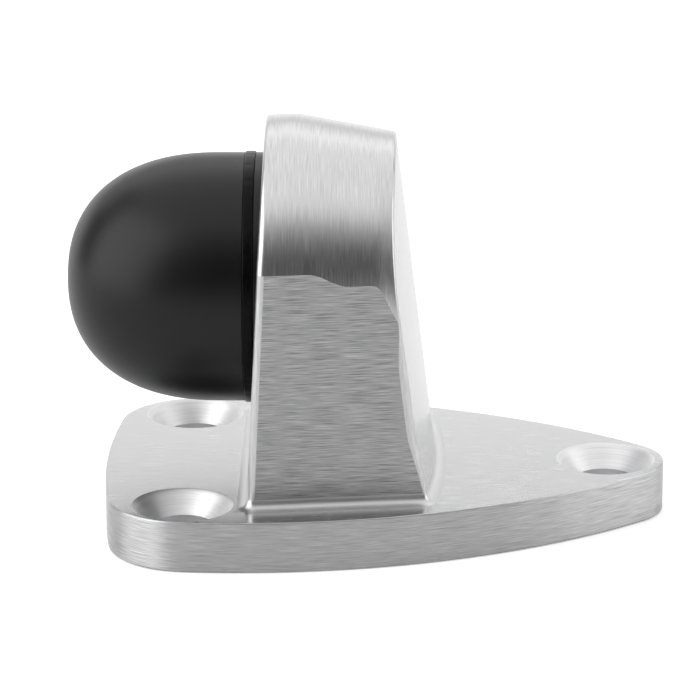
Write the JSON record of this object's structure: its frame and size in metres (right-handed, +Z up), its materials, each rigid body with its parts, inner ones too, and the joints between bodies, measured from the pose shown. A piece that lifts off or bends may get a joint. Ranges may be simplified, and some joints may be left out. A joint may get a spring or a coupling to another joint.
{
  "type": "door stop",
  "caption": "Floor door stop: a shield-shaped plate with countersunk holes and an upright post that carries a domed rubber buffer.",
  "frame": {"origin": "on the floor, under the middle of the whole stop's length and on its mirror plane", "axes": "+Z up from the floor, -Y towards the door that meets the buffer, +Y towards the plate's tip, +X across the stop"},
  "size_m": [0.048, 0.0724, 0.049],
  "materials": {
    "satin_casting": "linished satin chrome plate on a cast body",
    "black_rubber": "moulded, soft sheen",
    "blackened_band": "blackened steel strip",
    "plate_steel": "stamped mild steel",
    "zinc_plated_steel": "bright zinc plated",
    "spring_steel": "oiled spring steel"
  },
  "bodies": {
    "stop": {"body_casting": "satin_casting", "retaining_band": "blackened_band", "mounting_plate": "plate_steel", "buffer_stud": "zinc_plated_steel", "plain_washer": "zinc_plated_steel", "spring_washer": "spring_steel", "hex_nut": "zinc_plated_steel"},
    "buffer": {"rubber_buffer": "black_rubber"}
  },
  "joints": [
    {"name": "buffer_press", "type": "slide", "parent": "stop", "child": "buffer", "axis": [0, 1, 0], "range_m": [0, 0.0025], "stiffness_N_per_m": 60000, "deforming": ["rubber_buffer"]}
  ]
}
